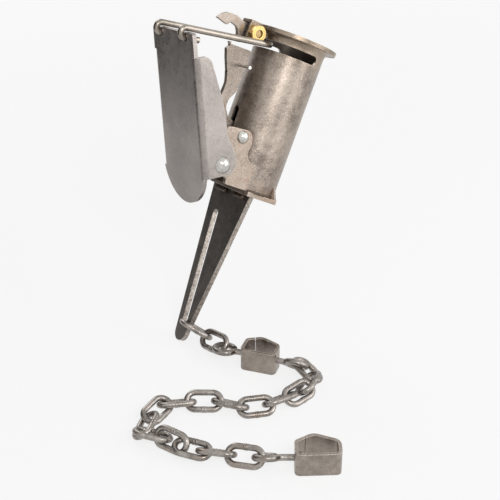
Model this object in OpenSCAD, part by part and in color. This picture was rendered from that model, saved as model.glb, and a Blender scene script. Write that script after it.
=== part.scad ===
// Dog-proof raccoon trap, sprung, leaning with its dagger's point on the ground, the chain laid before it.
// The origin is the point of the dagger, +Z is up from the ground, and the tube leans towards +X.
// The trap is drawn upright, with its lever on the -X side, and place() leans it.
// Side outlines are [out, up]: out from the tube's axis to the lever, up from the tube's foot.

/* [Tube] */
// Outside diameter of the tube
tube_d = 44.5; // [42:0.5:48]
// Wall of the tube
tube_wall = 2.1; // [1.5:0.1:2.6]
// Length of the tube, foot to mouth ring
tube_h = 96.4; // [92:0.2:110]
// How far the weld under the mouth ring stands out
mouth_weld = 2.6; // [1:0.2:3.5]
// Height of the slot that the bail runs in
slot_h = 5.6; // [5.5:0.1:6.2]
// From the mouth ring down to the slot
slot_drop = 4.8; // [4.4:0.1:5.4]
// How far round the slot reaches past the tube's axis
slot_past = 7.6; // [4:0.2:10]
// Width of the slit that the trigger runs in
slit_w = 5.5; // [4.5:0.1:7]
// Top of the slit, above the foot
slit_top = 47.5; // [46:0.5:52]
// Bottom of the slit, above the foot
slit_low = 19; // [16:0.5:22]

/* [Mouth plate] */
// Outside diameter of the mouth ring
ring_d = 57; // [54:0.5:62]
// Hole of the mouth ring
ring_hole_d = 41.2; // [41:0.1:43]
// Thickness of the mouth ring
ring_t = 2.5; // [2:0.1:3.5]
// Reach of the dog's housing from the tube's axis
housing_out = 36.3; // [36:0.1:40]
// Outside width of the dog's housing
housing_w = 10; // [9:0.2:12]
// Sheet of the housing's walls
housing_sheet = 1.8; // [1.4:0.1:2.2]
// Depth of the housing's walls below the ring's outer face
housing_deep = 12.3; // [11.5:0.1:14]

/* [Base, brackets and dagger] */
// Thickness of the base plate
base_t = 2.8; // [2:0.1:4]
// Half width of the base plate
base_half = 22.5; // [21.5:0.5:25]
// Inside half distance between the two brackets
bracket_in = 19.9; // [19.7:0.1:20.2]
// Thickness of a bracket
bracket_t = 2.6; // [2:0.1:2.8]
// Length of the dagger below the tube's foot
dagger_len = 104.7; // [90:0.5:130]
// Thickness of the dagger
dagger_t = 3.2; // [2.5:0.1:4]
// Front face of the dagger, out from the tube's axis
dagger_out = 5.2; // [4.5:0.1:6]
// Half width of the dagger at the foot
dagger_half = 21.6; // [20:0.2:22]
// Radius of the dagger's rounded point
tip_r = 6; // [5:0.1:6.5]
// Width of the dagger's slot
dagger_slot_w = 5.6; // [5.4:0.1:6.5]

/* [Lever] */
// Angle of the sprung lever from the tube
lever_open = 27.7; // [26:0.1:30]
// Angle of the squeezed lever, held by the dog
lever_shut = 0.4; // [0.3:0.1:0.8]
// Lower rivet, out from the tube's axis
pivot_out = 33.9; // [33.5:0.1:35]
// Lower rivet, above the foot
pivot_up = 10.5; // [10:0.1:11.5]
// Outside half width of the lever
lever_half = 25.4; // [25.2:0.1:26.2]
// Sheet of the lever
lever_sheet = 2.6; // [2:0.1:2.7]
// Outer face of the lever, from the rivet
lever_face = 13.6; // [13:0.1:14]
// From the dog's bolt down to the squeezed lever's top edge
dog_over = 1.5; // [1.2:0.1:1.7]
// From the lever's top edge down to the top of its flanges
flange_drop = 14; // [12:0.5:20]
// Outside radius of the lever's long bends
bend_r = 3.6; // [3:0.1:4.5]
// Radius of the thumb tongue under the lever
tongue_r = 25.2; // [23:0.2:25.2]

/* [Bail] */
// Diameter of the bail's wire
bail_d = 3.8; // [3.4:0.1:4]
// Half distance between the bail's legs
bail_half = 15; // [14.5:0.1:15.2]
// Middle of the bail's closed end, out from the tube's axis, with the trap sprung
bail_in = 17.96; // [17.7:0.02:18.2]
// Height of the bail's legs over its hooked ends
hook_rise = 5.7; // [5.6:0.05:5.9]
// The bail's holes, below the lever's top edge
hole_drop = 3.4; // [3.2:0.1:3.6]
// Diameter of the bail's holes
hole_d = 5.1; // [5:0.1:5.2]

/* [Rivets and springs] */
// Shank diameter of the lower rivet
lower_rivet_d = 6; // [5:0.1:6.4]
// Head diameter of the lower rivet
lower_head_d = 10.4; // [9:0.2:11]
// Shank diameter of the upper rivet
upper_rivet_d = 5; // [4:0.1:5.2]
// Head diameter of the upper rivet
upper_head_d = 8.2; // [7:0.1:8.4]
// Upper rivet, out from the tube's axis
upper_out = 25.2; // [25.1:0.1:25.6]
// Upper rivet, above the foot
upper_up = 30.2; // [29.5:0.1:31]
// Diameter of the spring's wire
spring_d = 2.6; // [2:0.1:2.7]
// Pitch of the spring's coils
spring_pitch = 3.15; // [3.1:0.05:3.2]

/* [Dog and trigger] */
// Thickness of the dog and of the trigger
flat_t = 3; // [2.5:0.1:3.2]
// Dog's bolt, out from the tube's axis
dog_out = 31; // [30.8:0.1:31.2]
// Dog's bolt, below the end of the tube
dog_drop = 4.4; // [4.2:0.1:4.6]
// Diameter of the dog's bolt
bolt_d = 5; // [4:0.1:5.2]
// Size of the nut across its flats
nut_af = 9.5; // [9:0.1:10]
// Thickness of the nut
nut_t = 4.5; // [4:0.1:5]
// Angle that the trigger swings out when it lets go
trigger_swing = 3.5; // [3.2:0.1:3.7]
// Diameter of the trigger's cross pin
cross_pin_d = 2; // [1.6:0.1:2.4]

/* [Chain and swivels] */
// Wire of a chain link
link_d = 3.6; // [3:0.1:3.7]
// Wire of a swivel's eye
eye_d = 3.8; // [3:0.1:3.9]
// Height of a swivel's box
box_h = 15; // [13:0.2:16]
// Strap that the boxes are bent from
box_sheet = 1.9; // [1.6:0.1:2.4]
// Length of the swivel's box
box_long = 22.5; // [21:0.1:23]
// Length of the end box
end_box_long = 26; // [22:0.5:30]
// Width of a box at the end that its eye comes out of
box_wide = 14; // [12:0.5:16]
// Width of a box at its other end
box_narrow = 12; // [11.8:0.2:13]

/* [Stance] */
// How far the tube leans from upright
lean = 33; // [0:0.5:40]
// How far the trap is turned about its own tube
yaw = -22; // [-30:0.5:30]

/* [Hidden] */
$fn = 64;

fit = 0.05;                      // radial clearance of a shaft in its hole
seat = 0.05;                     // gap between faces that bear on each other
tube_r = tube_d / 2;
bore_r = tube_r - tube_wall;
mouth_up = tube_h + ring_t;      // outer face of the mouth ring
slot_mid = tube_h - slot_drop - slot_h / 2;
bracket_out = bracket_in + bracket_t;
pivot = [pivot_out, pivot_up];
upper = [upper_out, upper_up];
dog_up = tube_h - dog_drop;
bolt_at = [dog_out, dog_up];
lever_top = dog_up - pivot_up - dog_over;
flange_top = lever_top - flange_drop;
hole_up = lever_top - hole_drop;
bracket_edge = sqrt(tube_r * tube_r - bracket_in * bracket_in) + 0.15;    // clear of the tube's side
housing_top = mouth_up - housing_sheet;

// Points along an arc about c
function arc(c, r, from, to, steps = 8) =
    [for (i = [0:steps]) let (a = from + (to - from) * i / steps) c + r * [cos(a), sin(a)]];

function unit(v) = v / norm(v);
function turn(a) = a > 180 ? a - 360 : a < -180 ? a + 360 : a;

// The corner b between a and c, rounded by radius r
function corner(a, b, c, r, steps) =
    r == 0 ? [b] :
    let (u = unit(a - b), v = unit(c - b), half = acos(u * v) / 2,
         m = b + unit(u + v) * r / sin(half), p = b + u * r / tan(half), q = b + v * r / tan(half),
         from = atan2(p.y - m.y, p.x - m.x), by = turn(atan2(q.y - m.y, q.x - m.x) - from))
    [for (i = [0:steps]) m + r * [cos(from + by * i / steps), sin(from + by * i / steps)]];

// An outline of [x, y, corner radius] with its corners rounded
function soften(p, steps = 6) =
    [for (i = [0:len(p) - 1])
        let (a = p[(i + len(p) - 1) % len(p)], b = p[i], c = p[(i + 1) % len(p)])
        each corner([a.x, a.y], [b.x, b.y], [c.x, c.y], b.z, steps)];

// The dagger's lowest point once the trap leans, in the upright trap's own [x, up, z]
tip_turn = atan2(-sin(lean) * sin(yaw), cos(lean));
tip_point = [dagger_t - dagger_out, tip_r * (1 - cos(tip_turn)) - dagger_len, -tip_r * sin(tip_turn)];

module place() {
    rotate([0, lean, 0]) rotate([0, 0, yaw]) rotate([90, 0, 0]) translate(-tip_point) children();
}

// A plate square to the rivets, from an outline in [out, up]
module side_plate(from, thick) {
    place() translate([0, 0, from]) linear_extrude(thick) mirror([1, 0]) children();
}

// A plate square to the tube, from an outline in [x, z]
module level_plate(from, thick) {
    place() translate([0, from, 0]) rotate([-90, 0, 0]) linear_extrude(thick) mirror([0, 1]) children();
}

// A plate facing the lever, from an outline in [z, up]
module facing_plate(out, thick) {
    translate([-out, 0, 0]) rotate([0, 90, 0]) linear_extrude(thick) mirror([1, 0]) children();
}

// A round bar along the rivets' direction
module across(at, d, from, to) {
    place() translate([-at.x, at.y, from]) cylinder(d = d, h = to - from);
}

// The lever's own frame: -X out of its face, +Y up its length, from the lower rivet
module on_lever() {
    place() translate([-pivot.x, pivot.y, 0]) rotate([0, 0, lever_open]) children();
}

// Outer profile of the tube as [radius, up], with the weld that flares under the ring
weld_h = mouth_weld * 1.7;
function tube_profile(gap) =
    concat([[bore_r, 0], [tube_r + gap, 0]],
           [for (i = [0:6]) let (a = 90 * i / 6)
               [tube_r + gap + mouth_weld * (1 - cos(a)), tube_h - weld_h * (1 - sin(a))]],
           [[bore_r, tube_h]]);

module tube() {
    color([0.42, 0.39, 0.36]) difference() {
        place() rotate([-90, 0, 0]) rotate_extrude() polygon(tube_profile(0));
        side_plate(-tube_d, 2 * tube_d) {
            translate([slot_h / 2 - slot_past, slot_mid]) circle(d = slot_h);
            translate([slot_h / 2 - slot_past, slot_mid - slot_h / 2]) square([tube_d, slot_h]);
        }
        place() facing_plate(tube_d, tube_d) {
            translate([0, slit_top - slit_w / 2]) circle(d = slit_w);
            translate([0, slit_low + slit_w / 2]) circle(d = slit_w);
            translate([-slit_w / 2, slit_low + slit_w / 2]) square([slit_w, slit_top - slit_low - slit_w]);
        }
    }
}

// Flat ring round the mouth, with the dog's folded housing and the bead that joins it to the tube
module mouth_plate() {
    half = housing_w / 2;
    low = mouth_up - housing_deep;
    bead = 2.2;
    color([0.47, 0.43, 0.37]) {
        difference() {
            union() {
                level_plate(tube_h, ring_t) difference() {
                    circle(d = ring_d);
                    circle(d = ring_hole_d);
                }
                side_plate(-half, housing_w) polygon([[ring_d / 2 - 2, housing_top],
                    [housing_out, housing_top], [housing_out, mouth_up], [ring_d / 2 - 2, mouth_up]]);
                for (z = [-half, half - housing_sheet])
                    side_plate(z, housing_sheet) polygon(soften([[housing_out, mouth_up, 0],
                        [housing_out, low, 0.6], [dog_out - 3, low, 2], [tube_r - 1, low + 6, 0],
                        [tube_r - 1, mouth_up, 0]]));
                for (s = [-1, 1])
                    place() translate([-tube_r - 1, tube_h - 0.4, s * (half + 0.2)])
                        rotate([0, -90, 0]) cylinder(d = bead, h = dog_out - nut_af / 2 - tube_r - 1);
            }
            place() rotate([-90, 0, 0]) rotate_extrude() polygon(concat([[0, 0]],
                [for (p = tube_profile(seat)) if (p.x > bore_r) p], [[ring_hole_d / 2, tube_h],
                [ring_hole_d / 2, mouth_up + 1], [0, mouth_up + 1]]));
            across(bolt_at, bolt_d + 2 * fit, -housing_w, housing_w);
        }
    }
}

// Plate under the tube, cut off at its back corners, with two small upright gussets
module base_plate() {
    back = 22.5;
    cut = 14.6;
    gusset = 8;
    color([0.46, 0.42, 0.38]) {
        level_plate(-base_t, base_t) polygon([[-dagger_out - 2.8, -base_half], [cut, -base_half],
            [back, -base_half / 2], [back, base_half / 2], [cut, base_half], [-dagger_out - 2.8, base_half]]);
        for (s = [-1, 1])
            place() rotate([0, -s * atan2(base_half, cut), 0]) translate([0, 0, -1])
                linear_extrude(2) polygon([[tube_r + seat, -base_t / 2], [tube_r + 3.6, -base_t / 2],
                    [tube_r + 3.6, 0.4], [tube_r + seat, gusset]]);
    }
}

// One side bracket: a foot on the base, an ear for the trigger's rivet, a lobe for the lever's
module bracket(from) {
    color([0.5, 0.46, 0.42]) difference() {
        side_plate(from, bracket_t) polygon(soften([[bracket_edge + 1.4, 0, 1], [27.3, 0, 1.5], [25.5, 3.6, 2],
            [31, 4.5, 2], [39, 4.5, 4.5], [41, 13, 5], [38.5, 28, 6], [35.5, 33.8, 2.5], [20, 35.4, 5],
            [17.2, 27, 6], [19.5, 20.5, 7], [bracket_edge, 14.6, 3.5], [bracket_edge, 5, 4]]));
        across(pivot, lower_rivet_d + 2 * fit, from - 1, from + bracket_t + 1);
        across(upper, upper_rivet_d + 2 * fit, from - 1, from + bracket_t + 1);
    }
}

module near_bracket() { bracket(bracket_in); }
module far_bracket() { bracket(-bracket_out); }

// Stake that is pushed into the ground, with the chain's slot
slot_start = [-8.2, -21];        // upper end of the dagger's slot, as [z, up]
slot_end = [0.6, -92.5];         // its lower end
module dagger() {
    top = -base_t - seat;
    tip = [0, tip_r - dagger_len];
    away = [dagger_half, top] - tip;
    side = atan2(away.y, away.x) - acos(tip_r / norm(away));    // where the tip's arc meets the side
    color([0.3, 0.29, 0.28]) place() facing_plate(dagger_out, dagger_t) difference() {
        polygon(concat([[dagger_half, top], [-dagger_half, top]], arc(tip, tip_r, 180 - side, 360 + side, 24)));
        for (p = [slot_start, slot_end]) translate(p) circle(d = dagger_slot_w);
        u = unit(slot_end - slot_start);
        w = [-u.y, u.x] * dagger_slot_w / 2;
        polygon([slot_start + w, slot_end + w, slot_end - w, slot_start - w]);
    }
}

// Two short weld beads that hold the dagger under the base plate
module dagger_welds() {
    leg = 2.5;
    long = 11;
    color([0.2, 0.17, 0.15]) for (z = [-9.5, 11.5])
        place() translate([-dagger_out - seat, -base_t - seat, z - long / 2]) linear_extrude(long)
            polygon(concat([[0, 0]], [for (a = [180:15:270]) leg * [cos(a), 2 * sin(a)]]));
}

// Side outline of the lever's flange as [out, up] from the rivet
flange_line = [[lever_face, -7, 0], [-5, -7, 1], [-9.2, -1.5, 5.5], [-9.3, 3.5, 3], [-7.1, 10.4, 4],
    [-4.4, 16.5, 4], [-4.3, 29, 10], [-2.9, 39, 20], [2.6, flange_top - 3, 6], [5.5, flange_top, 3],
    [lever_face, flange_top, 0]];

module lever() {
    w0 = lever_face - lever_sheet;
    side = lever_half - bend_r;
    color([0.55, 0.53, 0.52]) on_lever() difference() {
        union() {
            // the flat face, with its square top and its round tongue
            facing_plate(lever_face, lever_sheet) difference() {
                union() {
                    polygon(soften([[-side - bend_r, -1, 0], [side + bend_r, -1, 0],
                        [side + bend_r - 1, lever_top, 1.5], [-side - bend_r + 1, lever_top, 1.5]]));
                    intersection() {
                        translate([0, -1]) circle(r = tongue_r, $fn = 96);
                        translate([-tongue_r, -tongue_r - 2]) square([2 * tongue_r, tongue_r + 2]);
                    }
                }
                for (s = [-1, 1]) translate([s > 0 ? side : -side - 2 * bend_r, -7])
                    square([2 * bend_r, flange_top + 7]);
            }
            // the two long bends
            for (s = [-1, 1]) translate([0, -7, 0]) rotate([-90, 0, 0]) linear_extrude(flange_top + 7)
                mirror([0, 1]) translate([-lever_face + bend_r, s * side]) intersection() {
                    difference() {
                        circle(r = bend_r);
                        circle(r = bend_r - lever_sheet);
                    }
                    translate([-bend_r, s > 0 ? 0 : -bend_r]) square(bend_r);
                }
            // the two flanges
            for (z = [-lever_half, lever_half - lever_sheet]) translate([0, 0, z]) intersection() {
                linear_extrude(lever_sheet) mirror([1, 0]) polygon(soften(flange_line));
                translate([bend_r - lever_face, -50, -1]) cube([60, 150, lever_sheet + 2]);
            }
        }
        translate([0, 0, -lever_half - 1]) cylinder(d = lower_rivet_d + 2 * fit, h = 2 * lever_half + 2);
        for (z = [-bail_half, bail_half]) translate([-lever_face - 1, hole_up, z]) rotate([0, 90, 0])
            cylinder(d = hole_d, h = lever_sheet + 2);
    }
}

// A domed rivet: shank, and a head on each side
module rivet(at, d, head_d, half, head_h) {
    crown = (head_d * head_d / 4 + head_h * head_h) / (2 * head_h);
    place() translate([-at.x, at.y, 0]) {
        translate([0, 0, -half]) cylinder(d = d, h = 2 * half);
        for (s = [-1, 1]) mirror([0, 0, s > 0 ? 0 : 1]) translate([0, 0, half]) rotate_extrude()
            polygon(concat([[0, 0]], [for (i = [0:8]) let (a = asin(head_d / 2 / crown) * (1 - i / 8))
                [crown * sin(a), head_h - crown * (1 - cos(a))]]));
    }
}

module lower_rivet() {
    color([0.78, 0.78, 0.78]) rivet(pivot, lower_rivet_d, lower_head_d, lever_half + seat, 3);
}

module upper_rivet() {
    color([0.78, 0.78, 0.78]) rivet(upper, upper_rivet_d, upper_head_d, bracket_out + seat, 2.6);
}

// Tube of n sides swept along a path, its rings carried on without twist
function frames(p) = [for (i = 0, t = unit(p[1] - p[0]), u = unit(cross(t, [0.3, 0.2, 1]));
    i < len(p);
    i = i + 1,
    t = unit(p[min(i + 1, len(p) - 1)] - p[i - 1]),
    u = unit(u - t * (u * t))) [u, cross(t, u)]];

module swept(path, d, sides) {
    f = frames(path);
    points = [for (i = [0:len(path) - 1]) for (k = [0:sides - 1])
        path[i] + d / 2 * (f[i][0] * cos(360 * k / sides) + f[i][1] * sin(360 * k / sides))];
    rings = len(path);
    skin = [for (i = [0:rings - 2]) for (k = [0:sides - 1])
        let (a = i * sides + k, b = i * sides + (k + 1) % sides)
        each [[a, a + sides, b], [b, a + sides, b + sides]]];
    first = [for (k = [1:sides - 2]) [0, k, k + 1]];
    last = [for (k = [1:sides - 2]) let (o = (rings - 1) * sides) [o, o + k + 1, o + k]];
    polyhedron(points, concat(skin, first, last));
}

// Double torsion spring round the lower rivet: a leg, a coil, the bridge behind the lever,
// the other coil and its leg, all in one wire
coil_r = lower_rivet_d / 2 + spring_d / 2 + 2.3;
bridge_reach = [lever_face - lever_sheet - spring_d / 2 - seat, 28];
bridge_half = 6.5;
leg_top = [upper.x + upper_rivet_d / 2 + spring_d / 2 + seat + 0.3, upper.y + 4];
bridge_turn = 90 + atan2(bridge_reach.x, bridge_reach.y) + acos(coil_r / norm(bridge_reach)) + lever_open;
coil_turn = 360 * 3 + 360 - bridge_turn;
function spring_half() =
    let (steps = ceil(coil_turn / 45), c = [-pivot.x, pivot.y],
         rise = spring_pitch * coil_turn / 360, z1 = bridge_half + rise,
         b = [-bridge_reach.x * cos(lever_open) - bridge_reach.y * sin(lever_open),
              -bridge_reach.x * sin(lever_open) + bridge_reach.y * cos(lever_open)])
    concat([[-leg_top.x, leg_top.y, z1]],
           [for (i = [0:steps]) let (a = -coil_turn * i / steps)
               [c.x + coil_r * cos(a), c.y + coil_r * sin(a), z1 - rise * i / steps]],
           [[c.x + b.x, c.y + b.y, bridge_half] - 2 * [-sin(lever_open), cos(lever_open), 0],
            [c.x + b.x, c.y + b.y, bridge_half - 2]]);
spring_path = concat(spring_half(),
    [for (i = [len(spring_half()) - 1:-1:0]) let (p = spring_half()[i]) [p.x, p.y, -p.z]]);
spring_gap = min([for (i = [0:len(spring_path) - 8]) for (j = [i + 6:len(spring_path) - 1])
    norm(spring_path[i] - spring_path[j])]) - spring_d;
echo(spring_gap = spring_gap);

module torsion_spring() {
    color([0.36, 0.36, 0.37]) place() swept(spring_path, spring_d, 6);
}

// The bail's own frame at rest: origin in the lever's holes, +X along its legs to the closed end
hole_mid = lever_face - lever_sheet / 2;
hole_rest = pivot + [hole_up * sin(lever_open) + hole_mid * cos(lever_open),
                     hole_up * cos(lever_open) - hole_mid * sin(lever_open)];
slot_aim = [20, slot_mid - 0.1] - hole_rest;
bail_turn = atan2(slot_aim.y, -slot_aim.x) - asin(hook_rise / norm(slot_aim));
bail_len = (hole_rest.x - bail_in + hook_rise * sin(bail_turn)) / cos(bail_turn);

// Wire bail: two legs hooked over the lever's top edge into its holes, joined by a round closed end
module bail() {
    end = bail_len - bail_half;
    tail = 8;
    bend = hook_rise / 2;
    straight = 1.8;
    color([0.42, 0.42, 0.41])
    place() translate([-hole_rest.x, hole_rest.y, 0]) rotate([0, 0, bail_turn]) {
        for (z = [-bail_half, bail_half]) translate([0, 0, z]) {
            translate([-straight, hook_rise, 0]) rotate([0, 90, 0]) cylinder(d = bail_d, h = end + straight);
            translate([-straight, 0, 0]) rotate([0, 90, 0]) cylinder(d = bail_d, h = tail + straight);
            translate([-straight, bend, 0]) rotate([0, 0, 90]) rotate_extrude(angle = 180)
                translate([bend, 0]) circle(d = bail_d, $fn = 32);
        }
        translate([end, hook_rise, 0]) rotate([90, 0, 0]) rotate([0, 0, -90]) rotate_extrude(angle = 180)
            translate([bail_half, 0]) circle(d = bail_d, $fn = 32);
    }
}

// Catch that drops over the lever's top edge, with the tail that the trigger holds
module dog() {
    color([0.5, 0.47, 0.44]) difference() {
        side_plate(-flat_t / 2, flat_t) translate(bolt_at) {
            polygon(soften([[26.5, 0, 0.4], [24.2, 3.2, 3], [20.5, 5.6, 4], [14.5, 5.9, 6],
                [8.5, 4.2, 6], [1, 4.2, 4], [-3, -2, 3], [3, -4, 4], [6.7, -8.6, 0.5], [9.6, -8.6, 0.5],
                [9, -4, 5], [11.5, -0.4, 2.5], [16.9, 0.8, 0.8], [18.6, -1.6, 0.3]]));
            circle(r = 4.3);
        }
        across(bolt_at, bolt_d + 2 * fit, -flat_t, flat_t);
    }
}

// Bolt that the dog turns on, its head on the far side
module dog_bolt() {
    head = 3;
    far = -housing_w / 2 - seat;
    color([0.6, 0.6, 0.6]) {
        across(bolt_at, bolt_d, far, housing_w / 2 + nut_t - 1);
        place() translate([-bolt_at.x, bolt_at.y, far - head]) rotate_extrude()
            polygon(concat([[0, 0]], arc([3.4, 1.2], 1.2, -90, 0, 4), [[4.6, head], [0, head]]));
    }
}

module brass_nut() {
    across_corners = nut_af / cos(30);
    color([0.85, 0.66, 0.25])
    place() translate([-bolt_at.x, bolt_at.y, housing_w / 2 + seat]) difference() {
        intersection() {
            rotate([0, 0, 12]) cylinder(d = across_corners, h = nut_t, $fn = 6);
            rotate_extrude() polygon([[0, 0], [across_corners / 2 + 1, 0],
                [across_corners / 2 + 1, nut_t - 1.2], [across_corners / 2 - 0.7, nut_t], [0, nut_t]]);
        }
        translate([0, 0, -1]) cylinder(d = bolt_d + 2 * fit, h = nut_t + 2);
    }
}

// Trigger: the long arm that holds the dog's tail, and the arm that reaches into the tube
eye_r = 7.9;
function along(share) = upper.y + 19.3 + share * (dog_up - upper.y - 39.3);    // up the trigger's long arm
module trigger() {
    color([0.5, 0.47, 0.43]) difference() {
        side_plate(-flat_t / 2, flat_t) union() {
            polygon(soften([[27.2, dog_up - 10.7, 1], [42.7, dog_up - 11.3, 0.4],
                [42.9, dog_up - 10, 0.3], [44.2, dog_up - 10.1, 0.5], [42.3, dog_up - 12.5, 1.2],
                [44.3, dog_up - 14.6, 1], [42.1, along(1), 3], [38.7, along(0.69), 8],
                [36.3, along(0.38), 8], [36.7, along(0), 6], [33.2, upper.y + 5.8, 5],
                [upper.x, upper.y, 0], [18.5, upper.y + 3.8, 0], [27.6, upper.y + 9.4, 3],
                [31, upper.y + 13.8, 5], [30.6, along(0), 5], [27.4, along(0.24), 5],
                [27.2, along(0.82), 5]]));
            translate(upper) circle(r = eye_r);
            polygon(soften([[upper.x, upper.y + 5, 0], [2, upper.y + 0.3, 3], [-5, upper.y + 0.8, 3],
                [-5, upper.y - 6.2, 3], [2, upper.y - 5.7, 3], [upper.x, upper.y - 7, 0]]));
        }
        across(upper, upper_rivet_d + 2 * fit, -flat_t, flat_t);
        across(pin_at, cross_pin_d + 2 * fit, -flat_t, flat_t);
    }
}

pin_at = [31.6, dog_up - 21.2];
module trigger_pin() {
    color([0.75, 0.75, 0.75]) {
        across(pin_at, cross_pin_d, -flat_t / 2 - 1.5, 13.5);
    }
}

// One chain link, its middle at [x, y, z] and turned by its heading, pitch and roll
link_half = 5;                   // half of its straight sides
link_bend = 5.15;                // radius of its ends, to the middle of the wire
module chain_link(at) {
    translate([at[0], at[1], at[2]]) rotate([at[5], at[4], at[3]]) for (s = [0, 180]) rotate([0, 0, s]) {
        translate([link_half, 0, 0]) rotate([0, 0, -90]) rotate_extrude(angle = 180)
            translate([link_bend, 0]) circle(d = link_d, $fn = 24);
        translate([-link_half, link_bend, 0]) rotate([0, 90, 0]) cylinder(d = link_d, h = 2 * link_half, $fn = 24);
    }
}

// Where each link lies on the ground: [x, y, z, heading, pitch, roll]
lead_rows = [[4.6, -9.7, 9.6, -61, 30.6, 150], [5.3, -24.2, 6.4, -96, -8, -131]];
chain_rows = [[19.7, -85.9, 5, -103, 11, -17], [10.4, -93.8, 4.7, -165, 0, 34],
    [-0.4, -94.7, 4.4, 172, 0, -30], [-12.6, -90.3, 5, 159, 0, 36], [-26.1, -82.8, 4.3, 139, 0, -29],
    [-34.5, -70, 4.9, 107, 2, 34], [-42, -56.2, 4.9, 128, 0, -36], [-53.4, -44.9, 4.6, 137, 0, 32],
    [-65.4, -40.3, 5, -173, 2, -20], [-79, -44.1, 4.5, -156, 0, 31], [-83.1, -53.3, 5.1, -60, 10, -24],
    [-80.7, -65.4, 6.1, -84, 0, 57], [-78.2, -78.7, 5.4, -68, 3, 9], [-72, -91, 5.1, -61, 0, -39],
    [-64.9, -105.8, 5.7, -66, -3, 44]];

module lead_links() {
    color([0.55, 0.54, 0.52]) for (at = lead_rows) chain_link(at);
}

module chain_odd_links() {
    color([0.6, 0.59, 0.57]) for (i = [0:2:len(chain_rows) - 1]) chain_link(chain_rows[i]);
}

module chain_even_links() {
    color([0.55, 0.54, 0.53]) for (i = [1:2:len(chain_rows) - 1]) chain_link(chain_rows[i]);
}

// A swivel's own frame: origin in the outer face of the wall that its eye comes out of, +X into the box
module at_swivel() { translate([6.3, -46.8, box_h / 2]) rotate([0, 0, -71]) children(); }
module at_end() { translate([-50, -128.8, box_h / 2]) rotate([0, 0, -51]) children(); }

// An outline of [x, y, corner radius], with its walls moved in by s
function inset(p, s) =
    [for (i = [0:len(p) - 1])
        let (a = p[(i + len(p) - 1) % len(p)], b = p[i], c = p[(i + 1) % len(p)],
             u = unit([a.x - b.x, a.y - b.y]), v = unit([c.x - b.x, c.y - b.y]),
             m = [b.x, b.y] + unit(u + v) * s / sin(acos(u * v) / 2))
        [m.x, m.y, max(b.z - s, 0.6)]];

// Strap bent to a D, open above and below: a flat front, a back that bulges out, and its ends
// butted in the back wall; holes = 1 or 2 of its end walls drilled
module strap_box(long, holes, far_r, bulge) {
    wide = box_wide / 2;
    narrow = box_narrow / 2;
    seam = 0.4;
    outline = [[0, -wide, 3], [long, -narrow, 3], [long, narrow, far_r],
        [0.4 * long, wide + bulge, 7], [0, wide - 1.5, 2.5]];
    difference() {
        translate([0, 0, -box_h / 2]) linear_extrude(box_h) difference() {
            polygon(soften(outline));
            polygon(soften(inset(outline, box_sheet)));
            translate([0.2 * long + 3, 3]) rotate([0, 0, 28]) square([seam, 2 * wide]);
        }
        translate([-1, 0, 0]) rotate([0, 90, 0])
            cylinder(d = eye_d + 2 * fit, h = holes > 1 ? long + 2 : box_sheet + 2);
    }
}

// Open eye with a headed shank: its wall's outer face at the origin, bent out along -X
ring_r = 6.1;                    // radius of the ring, to the middle of the wire
neck_r = 4;                      // radius of the bend before it
module eye(stem, roll) {
    swing = acos(neck_r / (neck_r + ring_r));
    head = 2.2;
    inner = box_sheet + seat;
    rotate([roll, 0, 0]) rotate([0, 0, 180]) {
        translate([-inner - head, 0, 0]) rotate([0, 90, 0]) rotate_extrude()
            polygon(concat(arc([2.4, 0.8], 0.8, -90, 0, 4), [[3.2, head], [0, head], [0, 0]]));
        translate([-inner - 0.2, 0, 0]) rotate([0, 90, 0]) cylinder(d = eye_d, h = inner + 0.2 + stem, $fn = 32);
        translate([stem, neck_r, 0]) rotate([0, 0, -90]) rotate_extrude(angle = swing + 2)
            translate([neck_r, 0]) circle(d = eye_d, $fn = 32);
        translate([stem + (neck_r + ring_r) * sin(swing), 0, 0]) rotate([0, 0, -150])
            rotate_extrude(angle = 240 + swing) translate([ring_r, 0]) circle(d = eye_d + 0.1, $fn = 32);
    }
}

module swivel_box() {
    color([0.52, 0.5, 0.48]) at_swivel() strap_box(box_long, 2, 4, 3.5);
}

module swivel_eye_in() {
    color([0.5, 0.49, 0.48]) at_swivel() eye(3, -13);
}

module swivel_eye_out() {
    color([0.5, 0.49, 0.48]) at_swivel() translate([box_long, 0, 0]) rotate([0, 0, 180])
        eye(25 - box_long, 50);
}

module end_eye() {
    color([0.5, 0.49, 0.48]) at_end() eye(6.5, -35);
}

module end_box() {
    color([0.52, 0.5, 0.48]) at_end() strap_box(end_box_long, 1, 5.5, 5);
}

tube();
mouth_plate();
base_plate();
near_bracket();
far_bracket();
dagger();
dagger_welds();
lever();
lower_rivet();
upper_rivet();
torsion_spring();
bail();
dog();
dog_bolt();
brass_nut();
trigger();
trigger_pin();
lead_links();
swivel_box();
swivel_eye_in();
swivel_eye_out();
chain_odd_links();
chain_even_links();
end_eye();
end_box();
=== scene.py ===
# %% [markdown]
# # A dog-proof raccoon trap, sprung, with its chain laid before it
# The trap is a steel tube with a lever along its side. Squeezing the lever against its spring sets the trap,
# and a small dog holds it. A trigger that reaches into the tube lets it go, and the spring then throws the
# lever out, which draws a wire bail across the tube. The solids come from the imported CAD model. This lesson
# gives them their finishes, and adds what is too fine for CAD: the smooth wire of the spring, the ripples of
# the welds, and the welded joints of the chain links.

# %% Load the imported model
import math
import bpy
from mathutils import Matrix, Vector


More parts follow.
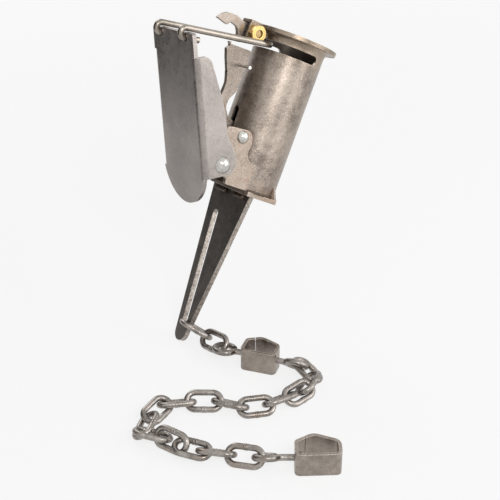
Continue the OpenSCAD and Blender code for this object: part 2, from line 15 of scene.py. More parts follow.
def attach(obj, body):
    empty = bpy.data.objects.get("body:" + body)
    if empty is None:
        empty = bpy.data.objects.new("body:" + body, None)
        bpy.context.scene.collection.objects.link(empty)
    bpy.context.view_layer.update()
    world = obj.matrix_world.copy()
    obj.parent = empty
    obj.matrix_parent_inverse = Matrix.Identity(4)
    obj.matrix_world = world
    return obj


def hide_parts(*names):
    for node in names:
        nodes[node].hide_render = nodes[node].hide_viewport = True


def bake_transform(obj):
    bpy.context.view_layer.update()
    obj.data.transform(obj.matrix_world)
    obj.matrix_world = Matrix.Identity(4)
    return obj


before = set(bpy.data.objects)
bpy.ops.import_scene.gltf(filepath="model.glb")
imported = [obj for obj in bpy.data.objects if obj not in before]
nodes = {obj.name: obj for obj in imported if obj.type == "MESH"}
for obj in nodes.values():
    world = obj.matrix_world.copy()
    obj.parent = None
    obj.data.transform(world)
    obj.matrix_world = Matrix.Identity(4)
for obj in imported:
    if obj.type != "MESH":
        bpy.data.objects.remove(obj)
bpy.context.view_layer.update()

print("loaded", len(nodes), "solid pieces")

# %% [markdown]
# ## Where things are
# The maker measures the trap standing upright: out from the tube's axis to the lever, up from the tube's
# foot, and across along the rivets. The model leans with the dagger's point on the ground, so one turn and
# one shift carry the upright millimetres to the leaning metres. The same turn, read backwards, tells a finish
# where on the trap it is.

# %% The lean of the trap
MM_PER_M = 1000
stand_up, yaw, lean = math.radians(90), math.radians(-22), math.radians(33)
upright = (Matrix.Rotation(lean, 3, "Y") @ Matrix.Rotation(yaw, 3, "Z")
           @ Matrix.Rotation(stand_up, 3, "X"))
dagger_point = Vector((-2.0, -104.53, -1.418))
mouth_up = 98.9


def on_trap(x, up, across):
    """A point of the upright trap, in mm, as a point of the scene, in metres."""
    return upright @ (Vector((x, up, across)) - dagger_point) / MM_PER_M


print("the mouth of the tube is at", [round(c, 3) for c in on_trap(0, mouth_up, 0)])

# %% [markdown]
# ## Shader maths as plain expressions
# A finish is a graph of small nodes. Writing `speckle * 0.4 + patches` is easier to read than wiring two Math
# nodes, so a socket is wrapped in a class whose operators add the nodes. Any other node comes from one
# method, which sets the node's own settings first and feeds its sockets after.


# %% Graph helpers
class Value:
    """A number or colour that a graph works out. + - * ** and abs() add Math nodes."""

    def __init__(self, graph, socket):
        self.graph, self.socket = graph, socket

    def maths(self, operation, *numbers):
        """A Math node on the numbers or values."""
        return self.graph.add("ShaderNodeMath", {"operation": operation}, dict(enumerate(numbers)))

    def __add__(self, other):
        return self.maths("ADD", self, other)

    def __radd__(self, other):
        return self.maths("ADD", other, self)

    def __sub__(self, other):
        return self.maths("SUBTRACT", self, other)

    def __rsub__(self, other):
        return self.maths("SUBTRACT", other, self)

    def __mul__(self, other):
        return self.maths("MULTIPLY", self, other)

    def __rmul__(self, other):
        return self.maths("MULTIPLY", other, self)

    def __pow__(self, other):
        return self.maths("POWER", self, other)

    def __abs__(self):
        return self.maths("ABSOLUTE", self)

    def ramp(self, low, high):
        """0 below low and 1 above high, with a soft step between."""
        return self.graph.add("MapRange", {"interpolation_type": "SMOOTHSTEP"},
                              {"Value": self, "From Min": low, "From Max": high})


class Graph:
    """Adds nodes to a node tree: a type, its settings, then its sockets."""

    def __init__(self, tree, family):
        self.tree, self.family = tree, family

    def add(self, kind, settings=None, sockets=None, output=0):
        """A new node's output. A kind without its family's name belongs to the graph's own family."""
        if not kind.startswith(("ShaderNode", "FunctionNode")):
            kind = self.family + kind
        node = self.tree.nodes.new(kind)
        for name, value in (settings or {}).items():
            setattr(node, name, value)
        for name, value in (sockets or {}).items():
            self.feed(node.inputs[name], value)
        return Value(self, node.outputs[output])

    def feed(self, socket, value):
        """Links a value to a socket, or sets the socket to a plain number, colour or vector."""
        if isinstance(value, Value):
            self.tree.links.new(value.socket, socket)
        else:
            socket.default_value = value


class Surface(Graph):
    """The graph of a new material, which starts with one plain shader."""

    def __init__(self, name):
        self.material = bpy.data.materials.new(name)
        self.material.use_nodes = True
        super().__init__(self.material.node_tree, "ShaderNode")
        self.shader = self.tree.nodes["Principled BSDF"]


def paint(red, green, blue):
    """A colour as a screen shows it, 0 to 255, turned into the linear colour that a shader takes."""
    linear = [c / 255 / 12.92 if c < 10 else ((c / 255 + 0.055) / 1.055) ** 2.4 for c in (red, green, blue)]
    return (*linear, 1.0)


print("a mid steel is", [round(c, 3) for c in paint(150, 140, 130)])

# %% [markdown]
# ## A worn steel, in layers
# Tumbled steel isn't one colour. It has broad soft clouds from heat and oil, patches a few millimetres wide,
# a fine bright grain where the tumbling media struck it, and edges rubbed bright. Each layer is a noise at
# the size that the real mark has, and the same layers drive the roughness and a slight bump, so the light
# breaks up where the colour does. The edges come from a Bevel node: where the rounded normal differs from the
# face's own, there is an edge. The noise is read in the object's own coordinates, in metres, so the marks
# keep their size on every piece.


# %% The steel builder
class Steel(Surface):
    """A procedural metal finish that is built up from noises in real sizes."""

    def __init__(self, name, metallic, roughness):
        super().__init__(name)
        self.shader.inputs["Metallic"].default_value = metallic
        self.shader.inputs["Roughness"].default_value = roughness
        self.place = self.add("TexCoord", output="Object")
        self.face = self.add("NewGeometry", output="Normal")

    def noise(self, size_mm, detail=3.0, sharp=0.55, stretch=(1, 1, 1), shift=0.0):
        """Soft lumps about size_mm across, 0 to 1 with 0.5 in the middle."""
        where = self.add("Mapping", {}, {"Vector": self.place, "Location": (shift, shift, shift),
                                         "Scale": tuple(MM_PER_M / size_mm / s for s in stretch)})
        return self.add("TexNoise", {}, {"Vector": where, "Scale": 1.0, "Detail": detail, "Roughness": sharp})

    def dot(self, first, second):
        """How far the first vector goes along the second."""
        return self.add("VectorMath", {"operation": "DOT_PRODUCT"}, {0: first, 1: second}, "Value")

    def measured(self, direction, zero):
        """How far the point is along one of the upright trap's directions, in mm."""
        return self.dot(self.place, upright.col[direction] * MM_PER_M) + zero

    def facing(self, direction):
        """How squarely the face looks along one of the upright trap's directions, either way."""
        return abs(self.dot(self.face, upright.col[direction]))

    def mix(self, amount, first, second):
        """A mix of two colours. A Mix node numbers its colour sockets 6 and 7, and its colour output 2."""
        return self.add("Mix", {"data_type": "RGBA"}, {"Factor": amount, 6: first, 7: second}, 2)

    def rounded(self, radius_mm):
        """The face's direction, as if its edges were rounded."""
        return self.add("Bevel", {"samples": 6}, {"Radius": radius_mm / MM_PER_M})

    def edges(self, radius_mm, low=0.012, high=0.12):
        """1 on the sharp edges, 0 on the faces."""
        return (1 - self.dot(self.rounded(radius_mm), self.face)).ramp(low, high)

    def finish(self, colour, roughness, height, depth_mm, radius_mm):
        """Wires colour, roughness and bump to the shader."""
        self.feed(self.shader.inputs["Base Color"], colour)
        self.feed(self.shader.inputs["Roughness"], roughness)
        bump = self.add("Bump", {}, {"Height": height, "Strength": 1.0, "Distance": depth_mm / MM_PER_M,
                                     "Normal": self.rounded(radius_mm)})
        self.feed(self.shader.inputs["Normal"], bump)
        return self.material


patch_mm, grain_mm, pit_mm, freckle_mm, warm_mm, wear_mm = 4.5, 0.9, 1.7, 1.3, 9, 3
rub_radius_mm = 0.8
rust = (104, 80, 64)
pit_shade = 0.62


def tumbled(name, dark, mid, light, metallic=0.85, roughness=0.42, grain=0.35, depth_mm=0.05, cloud_mm=22,
            rub=None, radius_mm=0.4, tint=None, freckles=0.0, shift=0.0):
    """A tumbled steel: clouds, patches, bright grain, rust freckles, and edges rubbed to the colour rub.

    Each noise is shifted by its own amount, so no two layers or finishes line up.
    """
    steel = Steel(name, metallic, roughness)
    clouds = steel.noise(cloud_mm, 3, 0.5, shift=shift).ramp(0.3, 0.7)
    patches = steel.noise(patch_mm, 4, 0.6, shift=shift + 3).ramp(0.35, 0.7)
    sparkle = steel.noise(grain_mm, 2, 0.6, shift=shift + 7)
    pits = steel.noise(pit_mm, 3, 0.7, shift=shift + 11).ramp(0.62, 0.72)
    colour = steel.mix(clouds * 0.6 + patches * 0.4, paint(*dark), paint(*mid))
    colour = steel.mix(sparkle.ramp(0.5, 0.72) * grain, colour, paint(*light))
    colour = steel.mix(pits * 0.35, colour, paint(*[c * pit_shade for c in dark]))
    if freckles:
        spots = steel.noise(freckle_mm, 3, 0.65, shift=shift + 29).ramp(0.54, 0.68)
        colour = steel.mix(spots * freckles, colour, paint(*rust))
    if tint:
        warm = steel.noise(warm_mm, 3, 0.55, shift=shift + 17).ramp(0.5, 0.72)
        colour = steel.mix(warm * 0.4, colour, paint(*tint))
    if rub:
        worn = 0.35 + 0.65 * steel.noise(wear_mm, 2, 0.5, shift=shift + 23).ramp(0.35, 0.6)
        colour = steel.mix(steel.edges(rub_radius_mm) * worn * 0.8, colour, paint(*rub))
    rough = roughness + (patches - 0.5) * 0.14 + (sparkle - 0.5) * 0.2 + pits * 0.12
    return steel, colour, rough, sparkle * 0.6 + patches * 0.5 - pits * 0.6, depth_mm, radius_mm


finishes = {}


def keep(name, steel, *rest):
    """Finishes a steel and keeps its material under a name."""
    finishes[name] = steel.finish(*rest)
    print("finish", name, "has", len(steel.tree.nodes), "nodes")


# %% [markdown]
# ## The tube's steel
# The tube is cut from bare pipe and tumbled. It is a warm brown-grey with bright grain, and the heat of
# welding left a straw band under the mouth ring and a browner one at the foot. The bands are read from the
# height up the tube. The inside of the tube is painted dark, as painted shade in the bore, and this is read
# from the distance to the tube's axis.

# %% Tube steel
straw_starts, straw_full = 78, 93
scorch_full, scorch_ends = 1, 11
bore_radius, past_bore = 20.3, 21.2
# The last colour is painted shade for the inside of the tube.
straw_brown, scorch_brown, painted_bore_shade = (150, 128, 100), (120, 98, 82), (58, 51, 46)

steel, colour, rough, height, depth, radius = tumbled(
    "tube_steel", (124, 113, 104), (176, 163, 151), (228, 216, 204), metallic=0.85, roughness=0.36,
    grain=0.4, rub=(206, 192, 176), freckles=0.15)
up = steel.measured(1, dagger_point.y)
straw = up.ramp(straw_starts, straw_full) * (0.6 + 0.4 * steel.noise(6, 2, 0.5).ramp(0.3, 0.7))
colour = steel.mix(straw * 0.4, colour, paint(*straw_brown))
scorch = (1 - up.ramp(scorch_full, scorch_ends)) * steel.noise(7, 3, 0.5, shift=31).ramp(0.25, 0.6)
colour = steel.mix(scorch * 0.55, colour, paint(*scorch_brown))
from_axis = (steel.measured(0, dagger_point.x) ** 2 + steel.measured(2, dagger_point.z) ** 2) ** 0.5
# The inside of the tube is painted dark: painted shade in the bore.
colour = steel.mix(1 - from_axis.ramp(bore_radius, past_bore), colour, paint(*painted_bore_shade))
keep("tube_steel", steel, colour, rough, height, depth, radius)

# %% [markdown]
# ## The mouth ring, the brackets and the base
# These are stamped plates of the same steel. They took more of the welding heat, so they lean towards straw
# and pink, and their sheared edges are rubbed bright.

# %% Plate finishes
keep("mouth_steel", *tumbled(
    "mouth_steel", (112, 100, 88), (166, 150, 133), (216, 202, 184), metallic=0.8, roughness=0.36,
    rub=(204, 190, 168), tint=(150, 126, 96), freckles=0.3, shift=2))
keep("plate_steel", *tumbled(
    "plate_steel", (140, 126, 114), (186, 171, 157), (226, 214, 202), metallic=0.75, roughness=0.42,
    rub=(214, 200, 186), tint=(172, 140, 118), freckles=0.5, shift=5))

# %% [markdown]
# ## The lever and the small catches
# The lever is rolled sheet, smoother and greyer than the tube. It stands almost upright in the scene, so one
# noise that is stretched ten times upwards gives it its grain. The dog and the trigger are punched from flat
# bar, and browner.

# %% Lever and catch finishes
steel, colour, rough, height, depth, radius = tumbled(
    "lever_steel", (132, 125, 121), (168, 160, 155), (216, 210, 205), metallic=0.85, roughness=0.36,
    grain=0.22, depth_mm=0.03, cloud_mm=30, rub=(204, 198, 190), radius_mm=0.5, shift=9)
brushed = steel.noise(0.6, 2, 0.5, stretch=(1.2, 1.2, 12), shift=41)
colour = steel.mix(brushed.ramp(0.45, 0.75) * 0.22, colour, paint(196, 188, 182))
keep("lever_steel", steel, colour, rough + (brushed - 0.5) * 0.12, height + brushed * 0.4, depth, radius)
keep("catch_steel", *tumbled(
    "catch_steel", (118, 108, 99), (170, 158, 147), (218, 208, 198), metallic=0.82, roughness=0.35,
    rub=(208, 198, 186), tint=(138, 116, 98), freckles=0.3, shift=13))

# %% [markdown]
# ## The dagger
# The dagger's faces keep their dark mill scale, while its sheared edge is bare metal with a painted
# highlight, far brighter. The faces look along the line between the tube and the lever, and the sheared edge
# looks across it, so how squarely a face looks along that line tells the two apart.

# %% Dagger finish
steel, colour, rough, height, depth, radius = tumbled(
    "dagger_steel", (84, 79, 75), (112, 106, 101), (164, 156, 148), metallic=0.75, roughness=0.42,
    grain=0.25, depth_mm=0.06, shift=19)
# The side faces are painted bright: bare sheared metal, plus a painted highlight.
sheared_edge_and_highlight = 1 - steel.facing(0).ramp(0.25, 0.6)
bare_metal_and_highlight = steel.mix(steel.noise(1.5, 3, 0.6, shift=3).ramp(0.3, 0.7), paint(140, 130, 122), paint(196, 187, 178))
colour = steel.mix(sheared_edge_and_highlight * 0.9, colour, bare_metal_and_highlight)
keep("dagger_steel", steel, colour, rough - sheared_edge_and_highlight * 0.08, height, depth, radius)

# %% [markdown]
# ## Rivets, wire, springs and brass
# The rivets are plated and nearly clean, and the dog's bolt is yellowed zinc. The bail is bright drawn wire
# with a faint straw, the spring is dark oil-hardened wire, and the nut is yellow brass with its corners
# rubbed pale. The marks of drawing are finer than those of tumbling, so the same builder is used with less
# grain and a shallower bump.

# %% Small part finishes
keep("rivet", *tumbled(
    "rivet", (176, 173, 168), (214, 212, 207), (240, 239, 236), metallic=1.0, roughness=0.14, grain=0.3,
    depth_mm=0.01, cloud_mm=6, radius_mm=0.15, shift=27))
keep("wire", *tumbled(
    "wire", (128, 120, 110), (170, 161, 151), (216, 208, 198), metallic=0.95, roughness=0.24, grain=0.15,
    depth_mm=0.01, cloud_mm=14, radius_mm=0.1, shift=33))
keep("spring_steel", *tumbled(
    "spring_steel", (72, 68, 66), (112, 107, 103), (178, 172, 166), metallic=0.9, roughness=0.32, grain=0.25,
    depth_mm=0.015, cloud_mm=10, radius_mm=0.2, shift=37))
keep("brass", *tumbled(
    "brass", (168, 136, 80), (204, 174, 112), (240, 220, 172), metallic=0.95, roughness=0.26, grain=0.25,
    depth_mm=0.015, cloud_mm=5, rub=(238, 216, 162), radius_mm=0.2, shift=43))
keep("yellow_zinc", *tumbled(
    "yellow_zinc", (118, 96, 62), (170, 144, 100), (220, 202, 160), metallic=0.9, roughness=0.32,
    depth_mm=0.015, cloud_mm=4, radius_mm=0.3, shift=45))

# %% [markdown]
# ## Welds, chain and straps
# A weld bead is dark and scaly where the flux lay, with straw in patches. The chain is hot-worked and grey,
# and the strap boxes are bent from a smoother sheet with rubbed edges.

# %% Weld and chain finishes
keep("weld", *tumbled(
    "weld", (58, 48, 42), (104, 90, 78), (164, 148, 130), metallic=0.7, roughness=0.44, grain=0.3,
    depth_mm=0.08, cloud_mm=3, tint=(116, 88, 64), radius_mm=0.2, shift=47))
keep("chain_steel", *tumbled(
    "chain_steel", (112, 106, 101), (172, 165, 159), (228, 222, 216), metallic=0.88, roughness=0.33,
    grain=0.3, depth_mm=0.05, cloud_mm=9, tint=(150, 132, 116), radius_mm=0.2, shift=53))
keep("strap_steel", *tumbled(
    "strap_steel", (124, 115, 107), (176, 165, 155), (220, 210, 200), metallic=0.85, roughness=0.34,
    grain=0.22, rub=(206, 196, 186), freckles=0.2, radius_mm=0.5, shift=59))

# %% [markdown]
# ## Dressing the solids
# The solids from CAD keep their shapes. Each gets one finish over all of it.

# %% Give every solid its finish
wearers = {
    "tube_steel": ["tube"],
    "mouth_steel": ["mouth_plate"],
    "plate_steel": ["base_plate", "near_bracket", "far_bracket"],
    "lever_steel": ["lever"],
    "catch_steel": ["dog", "trigger"],
    "dagger_steel": ["dagger"],
    "weld": ["dagger_welds"],
    "rivet": ["lower_rivet", "upper_rivet", "trigger_pin"],
    "spring_steel": ["torsion_spring"],
    "wire": ["bail"],
    "yellow_zinc": ["dog_bolt"],
    "brass": ["brass_nut"],
    "chain_steel": ["lead_links", "chain_odd_links", "chain_even_links", "swivel_eye_in", "swivel_eye_out",
                    "end_eye"],
    "strap_steel": ["swivel_box", "end_box"],
}
bare_nodes = set(nodes)
for finish_name, names in wearers.items():
    for name in names:
        materials = nodes[name].data.materials
        materials.clear()
        materials.append(finishes[finish_name])
        bare_nodes.remove(name)
print("dressed", len(nodes) - len(bare_nodes), "solids; without a finish:", sorted(bare_nodes))

# %% [markdown]
# ## Geometry Nodes helpers
# Wires and weld beads follow a path, so each is a small tree that runs on a polyline. `grown` builds the
# modifier, sets its named sizes by the sockets' identifiers, takes the evaluated result as a plain mesh, and
# removes the modifier.


# %% Trees that follow a path
def new_tree(name, inputs):
    """A Geometry Nodes tree with a geometry in, a geometry out, and named sizes."""
    tree = bpy.data.node_groups.new(name, "GeometryNodeTree")
    tree.interface.new_socket("Path", in_out="INPUT", socket_type="NodeSocketGeometry")
    for label, default in inputs.items():
        kind = "NodeSocketInt" if isinstance(default, int) else "NodeSocketFloat"
        tree.interface.new_socket(label, in_out="INPUT", socket_type=kind).default_value = default
    tree.interface.new_socket("Piece", in_out="OUTPUT", socket_type="NodeSocketGeometry")
    graph = Graph(tree, "GeometryNode")
    entry = tree.nodes.new("NodeGroupInput")
    return graph, {s.name: Value(graph, s) for s in entry.outputs if s.name}


def close_tree(graph, shape, finish_name):
    """Ends a tree: real geometry, smooth faces and a material."""
    shape = graph.add("RealizeInstances", {}, {"Geometry": shape})
    shape = graph.add("SetShadeSmooth", {}, {"Geometry": shape})
    shape = graph.add("SetMaterial", {}, {"Geometry": shape, "Material": finishes[finish_name]})
    graph.feed(graph.tree.nodes.new("NodeGroupOutput").inputs[0], shape)
    return graph.tree


def placed(name, data):
    """A new object of the scene that holds the data."""
    thing = bpy.data.objects.new(name, data)
    bpy.context.scene.collection.objects.link(thing)
    return thing


def grown(name, paths, tree, sizes):
    """Runs a tree on polylines, given as lists of points in metres, and returns the finished mesh object."""
    mesh = bpy.data.meshes.new(name + "_path")
    points, edges = [], []
    for path in paths:
        edges += [(len(points) + i, len(points) + i + 1) for i in range(len(path) - 1)]
        points += [tuple(p) for p in path]
    mesh.from_pydata(points, edges, [])
    piece = placed(name, mesh)
    modifier = piece.modifiers.new("grow", "NODES")
    modifier.node_group = tree
    for item in tree.interface.items_tree:
        if item.item_type == "SOCKET" and item.in_out == "INPUT" and item.name in sizes:
            modifier[item.identifier] = sizes[item.name]
    depsgraph = bpy.context.evaluated_depsgraph_get()
    result = bpy.data.meshes.new_from_object(piece.evaluated_get(depsgraph), depsgraph=depsgraph)
    piece.modifiers.clear()
    piece.data = result
    print(name, "has", len(result.polygons), "faces")
    return piece


# %% [markdown]
# ## The wire of the spring
# The real spring is one length of round wire: a leg behind the upper rivet, nearly three and a half turns
# round the lower rivet, a bridge across the back of the lever, and the same again on the other side. It
# pushes the lever away from the tube. The CAD solid has few sides, so a smooth wire takes its place. The path
# comes from the sizes of the coil, and a tree sweeps a round profile along it. One end rests on the frame and
# the other on the lever.

# %% Spring
rivet_x, rivet_up = -33.9, 10.5
lever_open = math.radians(27.7)
coil_r, wire_d, pitch = 6.6, 2.6, 3.15
bridge_half, bend_radius = 6.5, 3.0
# From the lower rivet to the bridge: out behind the lever's face, and up along it.
reach = (9.65, 28.0)
leg_end = (-29.35, 34.2)
bridge = (rivet_x - reach[0] * math.cos(lever_open) - reach[1] * math.sin(lever_open),
          rivet_up - reach[0] * math.sin(lever_open) + reach[1] * math.cos(lever_open))
# The coil starts on the tube's side of the rivet and winds back, until its wire runs straight to the bridge.
four_turns = 4 * 360
leaves_at = math.degrees(math.pi / 2 + math.atan2(*reach) + math.acos(coil_r / math.hypot(*reach))
                         + lever_open)
coil_turn = four_turns - leaves_at
rise = pitch * coil_turn / 360
outer_end = bridge_half + rise


def round_corner(before, middle, after, radius, steps=7):
    """A corner of a wire, bent round instead of sharp."""
    to_before, to_after = (before - middle).normalized(), (after - middle).normalized()
    start, end = middle + to_before * radius, middle + to_after * radius
    shares = [i / steps for i in range(steps + 1)]
    return [start.lerp(middle, share).lerp(middle.lerp(end, share), share) for share in shares]


def spring_side(side, steps=150):
    """Half of the spring's path, from the leg's end to the middle of the bridge. Side is 1 or -1."""
    coil = []
    for step in range(steps + 1):
        angle = math.radians(-coil_turn * step / steps)
        coil.append(Vector((rivet_x + coil_r * math.cos(angle), rivet_up + coil_r * math.sin(angle),
                            outer_end - rise * step / steps)))
    tip = Vector((*leg_end, outer_end))
    elbow, middle = Vector((*bridge, bridge_half)), Vector((*bridge, 0))
    bend = round_corner(coil[-1], elbow, middle, bend_radius)
    path = [tip, tip.lerp(coil[0], 0.5)] + coil + bend + [middle]
    return [Vector((p.x, p.y, p.z * side)) for p in path]


graph, sizes = new_tree("swept_wire", {"Wire radius": 0.001, "Sides": 16})
line = graph.add("MeshToCurve", {}, {"Mesh": sizes["Path"]})
section = graph.add("CurvePrimitiveCircle", {},
                    {"Resolution": sizes["Sides"], "Radius": sizes["Wire radius"]})
wire = graph.add("CurveToMesh", {}, {"Curve": line, "Profile Curve": section, "Fill Caps": True})
swept_wire = close_tree(graph, wire, "spring_steel")

near, far = spring_side(1), spring_side(-1)
spring_path = [on_trap(*p) for p in near + far[-2::-1]]
spring = grown("spring_wire", [spring_path], swept_wire, {"Wire radius": wire_d / 2 / MM_PER_M, "Sides": 20})
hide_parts("torsion_spring")
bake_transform(spring)

# %% [markdown]
# ## Rippled weld beads
# A weld is laid as a row of small overlapping puddles, like fallen coins. The tree spaces points along the
# seam and sets a flattened ball on each, turned along the seam, with a little seeded difference in size. The
# beads that hold the dagger replace their plain CAD solids, and finer ones run round the tube's foot and
# beside the dog's housing.

# %% Weld beads
overlap = 1.15
graph, sizes = new_tree("weld_bead",
                        {"Puddle spacing": 0.001, "Bead width": 0.002, "Unevenness": 0.1, "Seed": 4})
line = graph.add("MeshToCurve", {}, {"Mesh": sizes["Path"]})
line = graph.add("ResampleCurve", {"mode": "LENGTH"}, {"Curve": line, "Length": sizes["Puddle spacing"]})
along_seam = graph.add("InputTangent")
turn = graph.add("FunctionNodeAlignRotationToVector", {"axis": "Z"}, {"Vector": along_seam})
# A Random Value node numbers its plain number's least and most 2 and 3, and that output 1.
uneven = graph.add("FunctionNodeRandomValue", {"data_type": "FLOAT"},
                   {2: 1 - sizes["Unevenness"], 3: 1 + sizes["Unevenness"], "Seed": sizes["Seed"]}, 1)
girth = sizes["Bead width"] * 0.5 * uneven
flat = graph.add("ShaderNodeCombineXYZ", {}, {"X": girth, "Y": girth, "Z": sizes["Puddle spacing"] * overlap})
puddle = graph.add("MeshUVSphere", {}, {"Segments": 16, "Rings": 10, "Radius": 1.0})
bead = graph.add("InstanceOnPoints", {},
                 {"Points": line, "Instance": puddle, "Rotation": turn, "Scale": flat})
weld_bead = close_tree(graph, bead, "weld")


def seam(start, end, steps=12):
    """A straight seam between two upright points in mm, as scene points."""
    start, end = Vector(start), Vector(end)
    return [on_trap(*start.lerp(end, step / steps)) for step in range(steps + 1)]


def ring_seam(radius, up, start, end, steps=60):
    """A seam round the tube; 0 degrees is away from the lever."""
    angles = [math.radians(start + (end - start) * step / steps) for step in range(steps + 1)]
    return [on_trap(radius * math.cos(a), up, radius * math.sin(a)) for a in angles]


def laid(name, seams, spacing_mm, width_mm, unevenness, seed):
    """Beads of weld along the seams."""
    return grown(name, seams, weld_bead, {"Puddle spacing": spacing_mm / MM_PER_M,
                                          "Bead width": width_mm / MM_PER_M,
                                          "Unevenness": unevenness, "Seed": seed})


dagger_x, dagger_up, half_seam = -6.1, -4.5, 4.6
dagger_seams = [seam((dagger_x, dagger_up, across - half_seam), (dagger_x, dagger_up, across + half_seam))
                for across in (-9.5, 11.5)]
housing_in, housing_out, housing_up, housing_half = -23.8, -25.6, 96.0, 5.3
housing_seams = [seam((housing_in, housing_up, across), (housing_out, housing_up, across))
                 for across in (-housing_half, housing_half)]
foot_seam = ring_seam(radius=22.5, up=0.5, start=-110, end=110)

dagger_beads = laid("dagger_beads", dagger_seams, spacing_mm=1.2, width_mm=3.8, unevenness=0.12, seed=3)
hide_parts("dagger_welds")
foot_bead = laid("foot_bead", [foot_seam], spacing_mm=0.8, width_mm=1.7, unevenness=0.14, seed=5)
housing_beads = laid("housing_beads", housing_seams, spacing_mm=0.9, width_mm=2.5, unevenness=0.12, seed=8)
for bead in (dagger_beads, foot_bead, housing_beads):
    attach(bead, "frame")

# %% [markdown]
# ## The welded joints of the chain
# Each link is a bar bent round and butt-welded in the middle of one side, which leaves a low collar there.
# The collars are the same bead tree on a very short path along the middle of that side. The links lie where
# the CAD lays them, so their rows of place and turn are given here again.

# %% Link collars
# Each row is a link's place in mm, and its heading, pitch and roll in degrees.
link_rows = [
    [4.6, -9.7, 9.6, -61, 30.6, 150], [5.3, -24.2, 6.4, -96, -8, -131], [19.7, -85.9, 5, -103, 11, -17],
    [10.4, -93.8, 4.7, -165, 0, 34], [-0.4, -94.7, 4.4, 172, 0, -30], [-12.6, -90.3, 5, 159, 0, 36],
    [-26.1, -82.8, 4.3, 139, 0, -29], [-34.5, -70, 4.9, 107, 2, 34], [-42, -56.2, 4.9, 128, 0, -36],
    [-53.4, -44.9, 4.6, 137, 0, 32], [-65.4, -40.3, 5, -173, 2, -20], [-79, -44.1, 4.5, -156, 0, 31],
    [-83.1, -53.3, 5.1, -60, 10, -24], [-80.7, -65.4, 6.1, -84, 0, 57], [-78.2, -78.7, 5.4, -68, 3, 9],
    [-72, -91, 5.1, -61, 0, -39], [-64.9, -105.8, 5.7, -66, -3, 44]]
link_side, half_collar = 5.15, 0.9


def collar(x, y, z, heading, pitch, roll):
    """The short path of a link's weld, in scene metres."""
    turned = (Matrix.Rotation(math.radians(heading), 3, "Z") @ Matrix.Rotation(math.radians(pitch), 3, "Y")
              @ Matrix.Rotation(math.radians(roll), 3, "X"))
    places = [Vector((along, link_side, 0)) for along in (-half_collar, 0, half_collar)]
    return [(Vector((x, y, z)) + turned @ place) / MM_PER_M for place in places]


collars = laid("link_collars", [collar(*row) for row in link_rows],
               spacing_mm=0.9, width_mm=4.05, unevenness=0.02, seed=2)
collars.data.materials.clear()
collars.data.materials.append(finishes["chain_steel"])
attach(collars, "frame")

# %% [markdown]
# ## Floor and light
# The trap was photographed on white. The floor is a plain pale sheet that keeps the shadow: part of it glows
# white for the camera and for reflections only, so it reads as white without throwing light on the steel. The
# world does the same. A soft lamp stands above the camera and to its right, a larger and lower one stands
# further right, and one from behind draws the edges.

# %% White floor
floor_half, floor_z = 6, -0.0002
glow_near, glow_far = 0.8, 1.0
fade_from, fade_to = 0.3, 1.6

floor_mesh = bpy.data.meshes.new("floor")
floor_corners = [(-floor_half, -floor_half, floor_z), (floor_half, -floor_half, floor_z),
                 (floor_half, floor_half, floor_z), (-floor_half, floor_half, floor_z)]
floor_mesh.from_pydata(floor_corners, [], [(0, 1, 2, 3)])

sheet = Surface("floor_white")
sheet.shader.inputs["Base Color"].default_value = (0.86, 0.86, 0.86, 1)
sheet.shader.inputs["Roughness"].default_value = 0.9
glow = sheet.add("Emission", {}, {"Color": (1, 1, 1, 1), "Strength": 1.0})
seen = sheet.add("LightPath", output="Is Camera Ray") + sheet.add("LightPath", output="Is Glossy Ray")
place = sheet.add("TexCoord", output="Object")
far_off = sheet.add("VectorMath", {"operation": "LENGTH"}, {0: place}, "Value").ramp(fade_from, fade_to)
share = seen * (glow_near + (glow_far - glow_near) * far_off)
lit = Value(sheet, sheet.shader.outputs[0])
sheet.feed(sheet.tree.nodes["Material Output"].inputs["Surface"],
           sheet.add("MixShader", {}, {0: share, 1: lit, 2: glow}))
floor_mesh.materials.append(sheet.material)
placed("floor", floor_mesh)

# %% White world
room_light = 0.42

world = bpy.data.worlds.new("studio")
bpy.context.scene.world = world
world.use_nodes = True
air = Graph(world.node_tree, "ShaderNode")
seen = (air.add("LightPath", output="Is Camera Ray") + air.add("LightPath", output="Is Glossy Ray")
        + air.add("LightPath", output="Is Transmission Ray"))
background = world.node_tree.nodes["Background"]
background.inputs["Color"].default_value = (1, 1, 1, 1)
air.feed(background.inputs["Strength"], room_light + (1 - room_light) * seen.ramp(0, 0.5))
print("floor and world are white where they are seen")


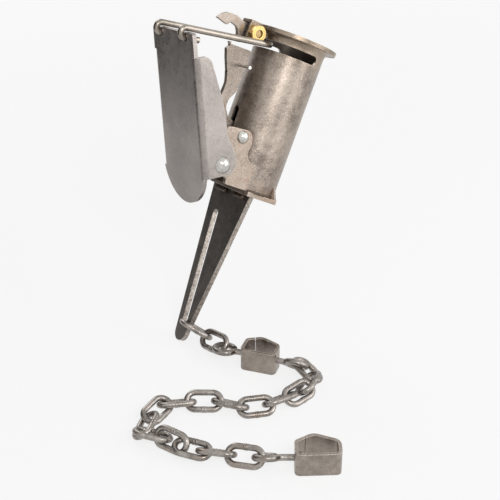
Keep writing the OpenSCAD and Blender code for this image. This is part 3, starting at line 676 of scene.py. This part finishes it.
# %% Lamps
def lamp(name, place, size, watts, aim=(0.02, -0.04, 0.08)):
    """A soft square lamp that looks at the trap."""
    light = bpy.data.lights.new(name, "AREA")
    light.size, light.energy = size, watts
    holder = placed(name, light)
    holder.location = place
    holder.rotation_euler = (Vector(aim) - Vector(place)).to_track_quat("-Z", "Y").to_euler()


lamp("front_lamp", (-0.40, -0.85, 0.85), size=0.4, watts=4.0)
lamp("side_lamp", (0.50, -1.00, 0.45), size=0.9, watts=5.5)
lamp("back_lamp", (0.5, 1.1, 0.9), size=0.7, watts=4.0)
print("three lamps")

# %% [markdown]
# Bare metal in a white room looks like plastic, because it mirrors nothing dark. Photographers stand a dark
# card beside it, out of the picture. Here the card is seen by reflections only, so it darkens no shadow and
# no floor.

# %% Dark card
left, away = Vector((-0.626, 0.779, 0)), Vector((0.779, 0.626, 0))
card_out, card_near, card_far, card_top = 0.34, -0.2, 0.4, 0.6

card_mesh = bpy.data.meshes.new("dark_card")
card_sides = [(card_near, 0), (card_far, 0), (card_far, card_top), (card_near, card_top)]
card_corners = [left * card_out + away * side + Vector((0, 0, z)) for side, z in card_sides]
card_mesh.from_pydata([tuple(c) for c in card_corners], [], [(0, 1, 2, 3)])
black = Surface("card_black")
black.shader.inputs["Base Color"].default_value = (0.09, 0.085, 0.08, 1)
card_mesh.materials.append(black.material)
card = placed("dark_card", card_mesh)
card.visible_camera = card.visible_diffuse = card.visible_shadow = card.visible_transmission = False
print("a dark card stands to the left")

# %% [markdown]
# ## The camera
# The photograph looks down by about 32 degrees with a long lens. The camera's place was found by matching the
# rims of the tube, the rivets and the dagger's outline with the same points of the solids.

# %% Camera
focal_mm, sensor_mm = 83.98, 36
# The columns are the camera's right, up and back, and its place in metres.
look = Matrix(((0.62648, 0.41183, -0.66176, -0.44314),
               (-0.77944, 0.33139, -0.53165, -0.41321),
               (0.00035, 0.84887, 0.52860, 0.44370),
               (0, 0, 0, 1)))

lens = bpy.data.cameras.new("camera")
lens.lens, lens.sensor_width = focal_mm, sensor_mm
camera = placed("camera", lens)
camera.matrix_world = look
bpy.context.scene.camera = camera
bpy.context.scene.view_settings.view_transform = "Standard"
print("the camera is", round(camera.location.length, 3), "m from the dagger's point")
